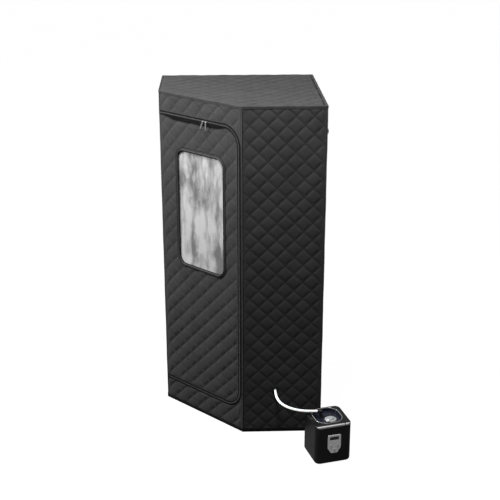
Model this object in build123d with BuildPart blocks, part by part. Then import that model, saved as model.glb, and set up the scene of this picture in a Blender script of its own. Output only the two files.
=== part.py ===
from build123d import *
import os
from math import cos, pi, radians, sin, sqrt, tan

# A corner-shaped portable steam sauna: a quilted fabric cabin on a pole frame, with a steamer
# standing in front of it and a hose between the two. Millimetres, Z up, +Y to the back.
# The origin is on the floor, at the centre of the square that the cabin stands in. The front
# left corner of that square is cut off at 45 degrees, and the cut holds the door.

# ---- driving dimensions ----
HALF = 425.0  # half the side of the square; the cut takes half of two sides
HEIGHT = 1800.0
FABRIC = 5.0  # quilted panel, two cloths with padding between
PROUD = 1.5  # the hem and the roof binding stand this far out of the panels
MAT = 3.0
HEM_HEIGHT = 22.0
BINDING_HEIGHT = 15.0
EDGE_GAP = PROUD + FABRIC + 0.5  # from a corner to the panel's end, room for the piping
PIPING_R = 2.2

POLE_R = 9.5
POLE_WALL = 1.2
HUB_R = 13.5
SOCKET_R = 12.0
SOCKET_LENGTH = 45.0
SOCKET_START = 15.0  # from the hub's centre to the end of a pole
POLE_FIT = 0.15
HUB_INSET = PROUD + FABRIC + 1.0 + HUB_R
HUB_LOW = MAT + 0.5 + HUB_R
HUB_HIGH = HEIGHT - PROUD - FABRIC - 1.0 - HUB_R

ZIP_RIGHT = 580.0  # the zip's centre line on the door side, from its left corner
ZIP_TOP = 1685.0
ZIP_BOTTOM = 139.0
ZIP_RADIUS = 100.0
ZIP_GAP = 0.3  # from the centre line to either half
COIL_WIDTH = 2.6
COIL_HEIGHT = 3.0
TAPE_WIDTH = 11.0
TAPE = 1.0
CUT = 4.0  # from the centre line to the cut edge of the cloth
DOOR_LEFT = 8.0

WINDOW_CENTRE = (301.0, 1189.0)
WINDOW_SIZE = (325.0, 625.0)  # the clear area
WINDOW_RADIUS = 44.0
WINDOW_BAND = 18.0
WINDOW_LAP = 6.0
VINYL = 1.0

SLIDER_STARTS = {"left": 336.0, "right": 357.0}
SLIDER_SIZE = (14.0, 9.0, 3.0)
PULL_TILT = {"left": 24.0, "right": 3.0}  # degrees from straight down, towards the hinge side
PULL_LENGTH = 40.0
PULL_WIDTH = 8.0
PULL_PIN_R = 1.0

PORT = (175.5, 255.0)  # on the front side, from its left corner and from the floor
PORT_R = 22.0
PORT_BORE = 6.0
PORT_COLLAR = 8.0

STEAMER_AT = (434.5, -667.0)
STEAMER_TURN = 14.9  # degrees, anticlockwise from above
STEAMER = (195.0, 201.0)  # across and deep
STEAMER_CORNER = 30.0
CASE_BOTTOM = 5.0
CASE_TOP = 214.0
DECK_TOP = 222.0
CASE_FOOT = 14.0  # the rounding under the case
CASE_WALL = 3.0
BASIN_BACK = 10.0  # the basin's centre is this far behind the steamer's
BASIN = (142.0, 155.0)
BASIN_CORNER = 58.0
TANK = (134.0, 147.0)
TANK_CORNER = 54.0
TANK_FLOOR = 40.0
TANK_TOP = 202.0
LID_FLOOR = 205.0
LID_WALL = 2.5

HOSE_R = 6.5
HOSE_ROUTE = [
    (175.5, -433.0, 255.0),
    (175.5, -471.0, 255.0),
    (183.0, -516.0, 245.0),
    (204.0, -558.0, 238.0),
    (238.0, -594.0, 236.0),
    (284.0, -624.0, 237.0),
    (332.0, -643.0, 241.0),
    (383.0, -643.0, 241.0),
]
NOZZLE_R = 9.0
NOZZLE_REACH = 19.0  # from the hose's end to the nozzle's upright stem

os.makedirs("parts", exist_ok=True)


def save(piece, name):
    piece.part.label = name
    export_step(piece.part, f"parts/{name}.step")


# ---- the cabin's plan ----
SIDES = ["door", "front", "right", "back", "left"]
CORNERS = ["door_left", "door_right", "front_right", "back_right", "back_left"]


def corner(index, inset):
    """A corner of the plan, anticlockwise from the door's left, with every side moved in."""
    h = HALF - inset
    k = inset * (sqrt(2) - 1)
    return [(-h, k), (k, -h), (h, -h), (h, h), (-h, h)][index % 5]


def side_length(side):
    index = SIDES.index(side)
    return (Vector(*corner(index + 1, 0)) - Vector(*corner(index, 0))).length


def side_plane(side, depth=0.0):
    """X runs along the side from its left corner seen from outside, Y up, Z outward."""
    index = SIDES.index(side)
    start = Vector(*corner(index, 0))
    along = (Vector(*corner(index + 1, 0)) - start).normalized()
    outward = along.cross(Vector(0, 0, 1))
    return Plane(origin=start - outward * depth, x_dir=along, z_dir=outward)


def box_face(left, right, low, high, mode=Mode.ADD):
    with Locations(((left + right) / 2, (low + high) / 2)):
        Rectangle(right - left, high - low, mode=mode)


def plan_face(inset, mode=Mode.ADD):
    with BuildLine() as outline:
        Polyline(*[corner(i, inset) for i in range(5)], close=True)
    make_face(outline.edges(), mode=mode)


def doorway_face(left, grow, mode=Mode.ADD):
    """The doorway: straight on the hinge side, round at its two free corners."""
    right, top, bottom = ZIP_RIGHT + grow, ZIP_TOP + grow, ZIP_BOTTOM - grow
    with BuildLine() as outline:
        run = FilletPolyline(
            (left, bottom), (right, bottom), (right, top), (left, top), radius=ZIP_RADIUS + grow
        )
        Line(run @ 1, run @ 0)
    make_face(outline.edges(), mode=mode)


def window_face(grow, mode=Mode.ADD):
    with Locations(WINDOW_CENTRE):
        width, height = WINDOW_SIZE
        RectangleRounded(width + 2 * grow, height + 2 * grow, WINDOW_RADIUS + grow, mode=mode)


# ---- fabric walls ----
WALL_TOP = HEIGHT - PROUD - FABRIC


def make_wall(side):
    with BuildPart() as wall:
        with BuildSketch(side_plane(side, PROUD)):
            box_face(EDGE_GAP, side_length(side) - EDGE_GAP, MAT, WALL_TOP)
            if side == "front":
                with Locations(PORT):
                    Circle(SOCKET_R + 0.3, mode=Mode.SUBTRACT)
            if side == "door":
                doorway_face(0.0, CUT, mode=Mode.SUBTRACT)
        extrude(amount=-FABRIC)
    save(wall, "door_surround" if side == "door" else f"{side}_panel")


for side in SIDES:
    make_wall(side)

with BuildPart() as floor_mat:
    with BuildSketch():
        plan_face(PROUD + 0.3)
    extrude(amount=MAT)
save(floor_mat, "floor_mat")

with BuildPart() as roof_panel:
    with BuildSketch(Plane.XY.offset(WALL_TOP)):
        plan_face(PROUD)
    extrude(amount=FABRIC)
save(roof_panel, "roof_panel")

with BuildPart() as roof_binding:
    with BuildSketch(Plane.XY.offset(HEIGHT - BINDING_HEIGHT)):
        plan_face(0.0)
        plan_face(PROUD, mode=Mode.SUBTRACT)
    extrude(amount=BINDING_HEIGHT)
    with BuildSketch(Plane.XY.offset(HEIGHT - PROUD)):
        plan_face(0.0)
        plan_face(14.0, mode=Mode.SUBTRACT)
    extrude(amount=PROUD)
save(roof_binding, "roof_binding")

with BuildPart() as bottom_hem:
    with BuildSketch():
        plan_face(0.0)
        plan_face(PROUD, mode=Mode.SUBTRACT)
    extrude(amount=HEM_HEIGHT)
save(bottom_hem, "bottom_hem")

with BuildPart() as corner_piping:
    with BuildSketch(Plane.XY.offset(HEM_HEIGHT + 1)):
        with Locations(*[corner(i, PIPING_R) for i in range(5)]):
            Circle(PIPING_R)
    extrude(amount=HEIGHT - BINDING_HEIGHT - HEM_HEIGHT - 2)
save(corner_piping, "corner_piping")

# A webbing loop sewn flat on the right wall, close to its front corner.
LOOP_HEIGHT, LOOP_OUT, LOOP_WIDTH, WEBBING = 30.0, 6.5, 20.0, 2.0
LOOP_CENTRE = 1671.0
loop_origin = (HALF - PROUD, -HALF + EDGE_GAP + 4, LOOP_CENTRE)
with BuildPart() as side_loop:
    with BuildSketch(Plane(origin=loop_origin, x_dir=(1, 0, 0), z_dir=(0, 1, 0))):
        Ellipse(LOOP_OUT, LOOP_HEIGHT / 2)
        Ellipse(LOOP_OUT - WEBBING - 1, LOOP_HEIGHT / 2 - 2 * WEBBING, mode=Mode.SUBTRACT)
        box_face(-2 * LOOP_OUT, 0, -LOOP_HEIGHT, LOOP_HEIGHT, mode=Mode.SUBTRACT)
    extrude(amount=LOOP_WIDTH)
save(side_loop, "side_loop")

# ---- the door, its window and its zip ----
with BuildPart() as door_panel:
    with BuildSketch(side_plane("door", PROUD)):
        doorway_face(DOOR_LEFT, -CUT)
        window_face(WINDOW_LAP, mode=Mode.SUBTRACT)
    extrude(amount=-FABRIC)
save(door_panel, "door_panel")

with BuildPart() as door_window:
    with BuildSketch(side_plane("door", PROUD + FABRIC / 2)):
        window_face(WINDOW_LAP - 0.3)
    extrude(amount=-VINYL)
save(door_window, "door_window")

with BuildPart() as window_binding:
    with BuildSketch(side_plane("door", PROUD)):
        window_face(WINDOW_BAND)
        window_face(0.0, mode=Mode.SUBTRACT)
    extrude(amount=2.0)
save(window_binding, "window_binding")


def make_zip_half(name, outer, inner, coil_outer, coil_inner, left):
    """A tape with one row of coil along the doorway; each figure is from the centre line."""
    with BuildPart() as half:
        for far, near, thick in ((outer, inner, TAPE), (coil_outer, coil_inner, COIL_HEIGHT)):
            with BuildSketch(side_plane("door", PROUD)):
                doorway_face(left, far)
                doorway_face(0.0, near, mode=Mode.SUBTRACT)
            extrude(amount=thick)
    save(half, name)


COIL_FAR = ZIP_GAP + COIL_WIDTH
make_zip_half("zip_half_fixed", TAPE_WIDTH, ZIP_GAP, COIL_FAR, ZIP_GAP, EDGE_GAP)
make_zip_half("zip_half_door", -ZIP_GAP, -TAPE_WIDTH, -ZIP_GAP, -COIL_FAR, DOOR_LEFT)

# A slider runs just in front of the coil. Its bridge is a pin along the zip on two posts, and
# the pull's eye hangs on the pin.
SLIDER_BACK = COIL_HEIGHT - PROUD + 0.4
SLIDER_FRONT = SLIDER_BACK + SLIDER_SIZE[2]
PIN_OUT = SLIDER_FRONT + 3.2
POST = 2.0
EYE_BORE = PULL_PIN_R + 0.3
EYE_R = EYE_BORE + 1.2


def make_slider(which):
    start = SLIDER_STARTS[which]
    length, width, thick = SLIDER_SIZE
    with BuildPart() as slider:
        with BuildSketch(side_plane("door", -SLIDER_BACK)):
            with Locations((start, ZIP_TOP)):
                RectangleRounded(length, width, 3.0)
        extrude(amount=thick)
        with BuildSketch(side_plane("door", -SLIDER_FRONT)):
            with Locations((start - 5, ZIP_TOP), (start + 5, ZIP_TOP)):
                Rectangle(POST, 2 * PULL_PIN_R + 0.6)
        extrude(amount=PIN_OUT - SLIDER_FRONT + PULL_PIN_R + 0.3)
        zip_side = side_plane("door")
        pin_start = zip_side.from_local_coords(Vector(start - 5, ZIP_TOP, PIN_OUT))
        with BuildSketch(Plane(origin=pin_start, z_dir=zip_side.x_dir)):
            Circle(PULL_PIN_R)
        extrude(amount=10)
    save(slider, f"zip_slider_{which}")


def make_pull(which):
    start = SLIDER_STARTS[which]
    zip_side = side_plane("door")
    eye_start = zip_side.from_local_coords(Vector(start - 3, ZIP_TOP, PIN_OUT))
    with BuildPart() as pull:
        with BuildSketch(Plane(origin=eye_start, z_dir=zip_side.x_dir)):
            Circle(EYE_R)
            Circle(EYE_BORE, mode=Mode.SUBTRACT)
        extrude(amount=6)
        tab_plane = side_plane("door", -PIN_OUT + 0.8)
        lean = radians(PULL_TILT[which])
        middle = PULL_LENGTH / 2 + EYE_R + 1.5  # clear of the slider's posts as it swings
        centre = (start - middle * sin(lean), ZIP_TOP - middle * cos(lean))
        with BuildSketch(tab_plane):
            with Locations(Location(centre, -PULL_TILT[which])):
                RectangleRounded(PULL_WIDTH, PULL_LENGTH, 3.0)
            hole = PULL_LENGTH
            with Locations((start - hole * sin(lean), ZIP_TOP - hole * cos(lean))):
                Circle(1.8, mode=Mode.SUBTRACT)
            neck = EYE_R + 1.5
            with Locations((start, ZIP_TOP - neck)):
                Rectangle(4.0, 4.0)
        extrude(amount=1.6)
    save(pull, f"zip_pull_{which}")


for which in SLIDER_STARTS:
    make_slider(which)
    make_pull(which)

# ---- pole frame ----
hub_plan = [corner(i, HUB_INSET) for i in range(5)]


def make_tube(start, end, name):
    start, end = Vector(*start), Vector(*end)
    way = (end - start).normalized()
    with BuildPart() as tube:
        with BuildSketch(Plane(origin=start + way * SOCKET_START, z_dir=way)):
            Circle(POLE_R)
            Circle(POLE_R - POLE_WALL, mode=Mode.SUBTRACT)
        extrude(amount=(end - start).length - 2 * SOCKET_START)
    save(tube, name)


def make_connectors(height, upright_way, name):
    """One three-way connector in each corner, with a socket for each of its three poles."""
    with BuildPart() as connectors:
        for i, spot in enumerate(hub_plan):
            hub = Vector(*spot, height)
            ways = [Vector(*hub_plan[(i + step) % 5], height) - hub for step in (1, -1)]
            ways = [way.normalized() for way in ways] + [Vector(0, 0, upright_way)]
            with Locations(hub):
                Sphere(HUB_R)
            for way in ways:
                with BuildSketch(Plane(origin=hub, z_dir=way)):
                    Circle(SOCKET_R)
                extrude(amount=SOCKET_LENGTH)
            for way in ways:
                with BuildSketch(Plane(origin=hub + way * (SOCKET_START - 0.5), z_dir=way)):
                    Circle(POLE_R + POLE_FIT)
                extrude(amount=SOCKET_LENGTH, mode=Mode.SUBTRACT)
    save(connectors, name)


for i, name in enumerate(CORNERS):
    make_tube((*hub_plan[i], HUB_LOW), (*hub_plan[i], HUB_HIGH), f"upright_{name}")
for i, side in enumerate(SIDES):
    for level, height in (("bottom", HUB_LOW), ("top", HUB_HIGH)):
        ends = (*hub_plan[i], height), (*hub_plan[(i + 1) % 5], height)
        make_tube(*ends, f"{level}_rail_{side}")
make_connectors(HUB_LOW, 1, "bottom_connectors")
make_connectors(HUB_HIGH, -1, "top_connectors")

# ---- hose port through the front wall ----
with BuildPart() as port_flange:
    with BuildSketch(side_plane("front", PROUD)):
        with Locations(PORT):
            Circle(PORT_R)
            Circle(PORT_BORE, mode=Mode.SUBTRACT)
    extrude(amount=3.0)
    with BuildSketch(side_plane("front", PROUD)):
        with Locations(PORT):
            Circle(SOCKET_R)
            Circle(PORT_BORE, mode=Mode.SUBTRACT)
    extrude(amount=PORT_COLLAR + PROUD)
save(port_flange, "port_flange")

with BuildPart() as steam_diffuser:
    inside = PROUD + FABRIC
    with BuildSketch(side_plane("front", PROUD)):
        with Locations(PORT):
            Circle(SOCKET_R)
            Circle(PORT_BORE, mode=Mode.SUBTRACT)
    extrude(amount=-FABRIC)
    with BuildSketch(side_plane("front", inside)):
        with Locations(PORT):
            Circle(PORT_R)
            Circle(PORT_BORE, mode=Mode.SUBTRACT)
    extrude(amount=-3.0)
    with BuildSketch(side_plane("front", inside + 3.0)):
        with Locations(PORT):
            Circle(18.0)
            Circle(PORT_BORE, mode=Mode.SUBTRACT)
    extrude(amount=-18.0)
    with BuildSketch(side_plane("front", inside + 21.0)):
        with Locations(PORT):
            Circle(18.0)
            with PolarLocations(9.0, 6):
                Circle(1.8, mode=Mode.SUBTRACT)
    extrude(amount=-3.0)
save(steam_diffuser, "steam_diffuser")

# ---- steamer ----
turn = radians(STEAMER_TURN)
bench = Plane(origin=(*STEAMER_AT, 0), x_dir=(cos(turn), sin(turn), 0), z_dir=(0, 0, 1))
bench_right = bench.x_dir
bench_back = bench.y_dir
face_half = STEAMER[1] / 2
front_face = Plane(
    origin=bench.origin - bench_back * face_half, x_dir=bench_right, z_dir=-bench_back
)
back_face = Plane(
    origin=bench.origin + bench_back * face_half, x_dir=-bench_right, z_dir=bench_back
)

BASE_SIZE, BASE_THICK = 132.0, 2.5
FOOT_R, SCREW_SPREAD, FOOT_SPREAD = 10.0, 120.0, 90.0
SCREW_R, SCREW_HEAD_R, SCREW_HEAD = 1.9, 3.5, 1.8
BASE_LOW = CASE_BOTTOM - BASE_THICK
KEYS = {"power_button": (0.0, 85.0, 5.5), "minus_button": (-18.0, 107.0, 4.5),
        "plus_button": (18.0, 107.0, 4.5)}
KEY_FIT = 0.35
DISPLAY_SIZE, DISPLAY_AT = (49.0, 19.0), (0.0, 151.0)
PLATE_THICK = 3.0
INLET_SIZE, INLET_AT = (30.0, 24.0), (0.0, 60.0)
INLET_BODY = (26.0, 19.0)


def rounded_face(size, radius, grow=0.0, back=0.0, mode=Mode.ADD):
    """A rounded oblong, moved out by `grow` all round (its corners too)."""
    with Locations((0, back)):
        RectangleRounded(size[0] + 2 * grow, size[1] + 2 * grow, radius + grow, mode=mode)


with BuildPart() as steamer_housing:
    with BuildSketch(bench.offset(CASE_BOTTOM)):
        rounded_face(STEAMER, STEAMER_CORNER)
    extrude(amount=CASE_TOP - CASE_BOTTOM)
    fillet(steamer_housing.faces().sort_by(Axis.Z)[0].edges(), CASE_FOOT)
    with BuildPart(mode=Mode.PRIVATE) as hollow:
        with BuildSketch(bench.offset(CASE_BOTTOM + CASE_WALL)):
            rounded_face(STEAMER, STEAMER_CORNER, -CASE_WALL)
        extrude(amount=CASE_TOP - CASE_BOTTOM)
        fillet(hollow.faces().sort_by(Axis.Z)[0].edges(), CASE_FOOT - CASE_WALL)
    add(hollow.part, mode=Mode.SUBTRACT)
    with BuildSketch(bench):
        Rectangle(104, 104)
        with GridLocations(SCREW_SPREAD, SCREW_SPREAD, 2, 2):
            Circle(SCREW_R + 0.1)
    extrude(amount=2 * CASE_BOTTOM, mode=Mode.SUBTRACT)
    with BuildSketch(front_face):
        for across, up, radius in KEYS.values():
            with Locations((across, up)):
                Circle(radius + KEY_FIT)
    extrude(amount=-2 * CASE_WALL, mode=Mode.SUBTRACT)
    with BuildSketch(back_face):
        with Locations(INLET_AT):
            Rectangle(INLET_BODY[0] + 0.4, INLET_BODY[1] + 0.4)
    extrude(amount=-2 * CASE_WALL, mode=Mode.SUBTRACT)
save(steamer_housing, "steamer_housing")

with BuildPart() as steamer_base:
    with BuildSketch(bench.offset(BASE_LOW)):
        Rectangle(BASE_SIZE, BASE_SIZE)
        with GridLocations(SCREW_SPREAD, SCREW_SPREAD, 2, 2):
            Circle(SCREW_R + 0.1, mode=Mode.SUBTRACT)
    extrude(amount=BASE_THICK)
save(steamer_base, "steamer_base")

with BuildPart() as steamer_feet:
    with BuildSketch(bench):
        with GridLocations(FOOT_SPREAD, FOOT_SPREAD, 2, 2):
            Circle(FOOT_R)
    extrude(amount=BASE_LOW)
save(steamer_feet, "steamer_feet")

with BuildPart() as base_screws:
    with BuildSketch(bench.offset(BASE_LOW - SCREW_HEAD)):
        with GridLocations(SCREW_SPREAD, SCREW_SPREAD, 2, 2):
            Circle(SCREW_HEAD_R)
    extrude(amount=SCREW_HEAD)
    with BuildSketch(bench.offset(BASE_LOW)):
        with GridLocations(SCREW_SPREAD, SCREW_SPREAD, 2, 2):
            Circle(SCREW_R)
    extrude(amount=9)
save(base_screws, "base_screws")

# The deck carries a silver bar along its front edge, in a step.
BAR_DEPTH, BAR_LOW, BAR_HIGH, BAR_PROUD = 11.0, 215.0, 223.5, 1.0
BAR_BREAK = (58.0, 64.0)
with BuildPart() as top_deck:
    with BuildSketch(bench.offset(CASE_TOP)):
        rounded_face(STEAMER, STEAMER_CORNER)
    extrude(amount=DECK_TOP - CASE_TOP)
    fillet(top_deck.faces().sort_by(Axis.Z)[-1].edges(), 4)
    with BuildSketch(bench.offset(CASE_TOP)):
        rounded_face(BASIN, BASIN_CORNER, back=BASIN_BACK)
    extrude(amount=DECK_TOP, mode=Mode.SUBTRACT)
    with BuildSketch(bench.offset(BAR_LOW)):
        box_face(-face_half, face_half, -2 * face_half, -face_half + BAR_DEPTH)
    extrude(amount=DECK_TOP, mode=Mode.SUBTRACT)
save(top_deck, "top_deck")

with BuildPart() as trim_bar:
    with BuildSketch(bench.offset(BAR_LOW)):
        rounded_face(STEAMER, STEAMER_CORNER, BAR_PROUD)
        box_face(
            -2 * face_half, 2 * face_half, -face_half + BAR_DEPTH - 0.1, 2 * face_half,
            mode=Mode.SUBTRACT,
        )
        box_face(*BAR_BREAK, -2 * face_half, 2 * face_half, mode=Mode.SUBTRACT)
    extrude(amount=BAR_HIGH - BAR_LOW)
    fillet(trim_bar.faces().group_by(Axis.Z)[-1].edges(), 1.5)
save(trim_bar, "trim_bar")

with BuildPart() as chrome_ring:
    with BuildSketch(bench.offset(DECK_TOP)):
        rounded_face(BASIN, BASIN_CORNER, 2.5, BASIN_BACK)
        rounded_face(BASIN, BASIN_CORNER, back=BASIN_BACK, mode=Mode.SUBTRACT)
    extrude(amount=2)
    fillet(chrome_ring.faces().sort_by(Axis.Z)[-1].edges(), 0.8)
save(chrome_ring, "chrome_ring")

with BuildPart() as water_tank:
    with BuildSketch(bench.offset(TANK_FLOOR)):
        rounded_face(TANK, TANK_CORNER, back=BASIN_BACK)
    extrude(amount=TANK_TOP - TANK_FLOOR)
    with BuildSketch(bench.offset(TANK_FLOOR + CASE_WALL)):
        rounded_face(TANK, TANK_CORNER, -CASE_WALL, BASIN_BACK)
    extrude(amount=TANK_TOP, mode=Mode.SUBTRACT)
    with BuildSketch(bench.offset(TANK_FLOOR)):
        with Locations((-12, BASIN_BACK - 36), (12, BASIN_BACK - 36)):
            Circle(4.6)
    extrude(amount=2 * CASE_WALL, mode=Mode.SUBTRACT)
save(water_tank, "water_tank")

HEATER_RING_R, HEATER_R, HEATER_HIGH = 37.95, 4.0, 56.0
with BuildPart() as heater:
    with Locations(bench.from_local_coords(Vector(0, BASIN_BACK, HEATER_HIGH))):
        Torus(HEATER_RING_R, HEATER_R)
    with BuildSketch(bench.offset(TANK_FLOOR - 14)):
        with Locations((-12, BASIN_BACK - 36), (12, BASIN_BACK - 36)):
            Circle(HEATER_R)
    extrude(amount=HEATER_HIGH - TANK_FLOOR + 14)
save(heater, "heater")

with BuildPart() as lid_gasket:
    with BuildSketch(bench.offset(TANK_TOP)):
        rounded_face(TANK, TANK_CORNER, back=BASIN_BACK)
        rounded_face(TANK, TANK_CORNER, -CASE_WALL, BASIN_BACK, mode=Mode.SUBTRACT)
    extrude(amount=LID_FLOOR - TANK_TOP)
save(lid_gasket, "lid_gasket")

CAP_AT, CAP_R, CAP_PLUG_R, CAP_HIGH = (12.0, -13.0), 31.0, 21.0, 221.5
LID_TOP = LID_FLOOR + LID_WALL
hose_end = Vector(*HOSE_ROUTE[-1])
stem = hose_end + Vector(NOZZLE_REACH, 0, 0)
stem_on_lid = bench.to_local_coords(stem)

with BuildPart() as tank_lid:
    with BuildSketch(bench.offset(LID_FLOOR)):
        rounded_face(BASIN, BASIN_CORNER, -0.5, BASIN_BACK)
    extrude(amount=DECK_TOP - 1 - LID_FLOOR)
    with BuildSketch(bench.offset(LID_TOP)):
        rounded_face(BASIN, BASIN_CORNER, -0.5 - LID_WALL, BASIN_BACK)
    extrude(amount=DECK_TOP, mode=Mode.SUBTRACT)
    with BuildSketch(bench.offset(LID_FLOOR)):
        with Locations(CAP_AT):
            Circle(CAP_PLUG_R + 0.4)
        with Locations((stem_on_lid.X, stem_on_lid.Y)):
            Circle(PORT_BORE)
    extrude(amount=2 * LID_WALL, mode=Mode.SUBTRACT)
save(tank_lid, "tank_lid")

with BuildPart() as filler_cap:
    with BuildSketch(bench.offset(LID_TOP + 0.3)):
        with Locations(CAP_AT):
            Circle(CAP_R)
    extrude(amount=8)
    with BuildSketch(bench.offset(LID_TOP + 8.3)):
        with Locations(CAP_AT):
            Circle(16)
    extrude(amount=CAP_HIGH - LID_TOP - 8.3)
    with BuildSketch(bench.offset(LID_FLOOR - 5)):
        with Locations(CAP_AT):
            Circle(CAP_PLUG_R)
    extrude(amount=LID_WALL + 5.3)
save(filler_cap, "filler_cap")

with BuildPart() as outlet_nozzle:
    with BuildSketch(Plane(origin=(stem.X, stem.Y, LID_TOP), z_dir=(0, 0, 1))):
        Circle(NOZZLE_R + 5)
    extrude(amount=4)
    with BuildSketch(Plane(origin=(stem.X, stem.Y, LID_TOP), z_dir=(0, 0, 1))):
        Circle(NOZZLE_R)
    extrude(amount=stem.Z - LID_TOP)
    with Locations(stem):
        Sphere(NOZZLE_R + 0.4)
    with BuildSketch(Plane(origin=hose_end, z_dir=(1, 0, 0))):
        Circle(NOZZLE_R)
    extrude(amount=NOZZLE_REACH)
    with BuildSketch(Plane(origin=(stem.X, stem.Y, LID_TOP), z_dir=(0, 0, 1))):
        Circle(PORT_BORE)
    extrude(amount=stem.Z - LID_TOP, mode=Mode.SUBTRACT)
    with BuildSketch(Plane(origin=hose_end, z_dir=(1, 0, 0))):
        Circle(PORT_BORE - 1)
    extrude(amount=NOZZLE_REACH, mode=Mode.SUBTRACT)
save(outlet_nozzle, "outlet_nozzle")

with BuildPart() as circuit_board:
    with BuildSketch(front_face.offset(-11.0)):
        box_face(-32, 32, 76, 164)
    extrude(amount=1.6)
save(circuit_board, "circuit_board")


def shield_face():
    """A flat top, straight sides and a foot that narrows with soft corners."""
    half, foot, top, waist, low = 35.5, 17.0, 170.0, 96.0, 67.0
    with BuildLine() as outline:
        FilletPolyline(
            (half, top), (half, waist), (foot, low), (-foot, low), (-half, waist), (-half, top),
            radius=[5, 14, 9, 9, 14, 5],
            close=True,
        )
    make_face(outline.edges())


with BuildPart() as control_plate:
    with BuildSketch(front_face):
        shield_face()
        for across, up, radius in KEYS.values():
            with Locations((across, up)):
                Circle(radius + KEY_FIT, mode=Mode.SUBTRACT)
        with Locations(DISPLAY_AT):
            Rectangle(*DISPLAY_SIZE, mode=Mode.SUBTRACT)
    extrude(amount=PLATE_THICK)
save(control_plate, "control_plate")

with BuildPart() as display:
    with BuildSketch(front_face):
        with Locations(DISPLAY_AT):
            Rectangle(DISPLAY_SIZE[0] - 0.4, DISPLAY_SIZE[1] - 0.4)
    extrude(amount=PLATE_THICK - 0.6)
save(display, "display")


def make_key(name, across, up, radius):
    with BuildPart() as key:
        with BuildSketch(front_face.offset(-CASE_WALL)):
            with Locations((across, up)):
                Circle(radius)
        extrude(amount=CASE_WALL + PLATE_THICK + 1.6)
        fillet(key.edges().group_by(Axis(front_face.origin, front_face.z_dir))[-1], 0.8)
    save(key, name)


for name, place in KEYS.items():
    make_key(name, *place)

# A mains inlet with three pins, low on the steamer's back.
with BuildPart() as power_inlet:
    with BuildSketch(back_face):
        with Locations(INLET_AT):
            RectangleRounded(*INLET_SIZE, 3)
    extrude(amount=2.5)
    with BuildSketch(back_face):
        with Locations(INLET_AT):
            Rectangle(*INLET_BODY)
    extrude(amount=-8.0)
    with BuildSketch(back_face.offset(2.5)):
        with Locations(INLET_AT):
            RectangleRounded(23.0, 16.0, 3)
    extrude(amount=-9.0, mode=Mode.SUBTRACT)
    with BuildSketch(back_face.offset(-7.0)):
        with Locations(INLET_AT):
            with Locations((-7, -2), (7, -2), (0, 3)):
                Rectangle(1.6, 4)
    extrude(amount=7.5)
save(power_inlet, "power_inlet")


# ---- steam hose ----
def route_radii(route):
    """Each arc's radius is 0.45 of the shorter run over the tangent of half the turn."""
    radii = []
    for before, here, after in zip(route, route[1:], route[2:]):
        run_in, run_out = Vector(*here) - Vector(*before), Vector(*after) - Vector(*here)
        half_turn = radians(run_in.get_angle(run_out)) / 2
        radii.append(0.45 * min(run_in.length, run_out.length) / tan(half_turn))
    return radii


hose_radii = route_radii(HOSE_ROUTE)
with BuildPart() as steam_hose:
    with BuildLine() as hose_path:
        FilletPolyline(*HOSE_ROUTE, radius=hose_radii)
    with BuildSketch(Plane(origin=HOSE_ROUTE[0], z_dir=(0, -1, 0))):
        Circle(HOSE_R)
    sweep(path=hose_path.wires()[0])
save(steam_hose, "steam_hose")

hose_length = hose_path.wires()[0].length
print("hose arcs", [round(radius) for radius in hose_radii])
print("hose length", round(hose_length, 1))
print("hose volume", round(steam_hose.part.volume), "of", round(pi * HOSE_R**2 * hose_length))
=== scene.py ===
from math import cos, pi, radians, sin, sqrt

import bpy
import numpy as np
from mathutils import Matrix, Vector
from mathutils.geometry import delaunay_2d_cdt


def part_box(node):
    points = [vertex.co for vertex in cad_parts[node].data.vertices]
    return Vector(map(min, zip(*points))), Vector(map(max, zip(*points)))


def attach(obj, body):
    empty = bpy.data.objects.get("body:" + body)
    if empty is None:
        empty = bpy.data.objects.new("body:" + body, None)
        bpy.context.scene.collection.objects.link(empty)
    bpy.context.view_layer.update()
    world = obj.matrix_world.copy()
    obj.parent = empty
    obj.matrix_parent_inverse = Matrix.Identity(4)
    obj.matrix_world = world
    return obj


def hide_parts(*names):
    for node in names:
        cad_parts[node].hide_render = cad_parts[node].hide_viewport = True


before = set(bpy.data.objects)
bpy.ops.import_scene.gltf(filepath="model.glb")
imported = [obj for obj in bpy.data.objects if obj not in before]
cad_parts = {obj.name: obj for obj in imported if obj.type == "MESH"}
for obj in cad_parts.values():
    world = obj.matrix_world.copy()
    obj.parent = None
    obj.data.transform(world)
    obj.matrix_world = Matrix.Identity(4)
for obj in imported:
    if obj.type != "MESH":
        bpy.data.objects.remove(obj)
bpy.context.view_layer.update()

# The looks of the corner-shaped steam sauna. Sizes are millimetres until a mesh is made, in
# the flat coordinates of the side that a piece lies on, and MM turns them into metres.
MM = 0.001

# ---- sizes read from the frame ----
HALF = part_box("bottom_hem")[1].x / MM
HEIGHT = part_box("roof_binding")[1].z / MM
HEM_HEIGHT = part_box("bottom_hem")[1].z / MM
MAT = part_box("floor_mat")[1].z / MM
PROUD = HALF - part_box("right_panel")[1].x / MM
BINDING_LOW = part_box("roof_binding")[0].z / MM
WALL_LOW, WALL_TOP = (corner.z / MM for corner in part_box("right_panel"))
EDGE_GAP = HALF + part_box("right_panel")[0].y / MM

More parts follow.
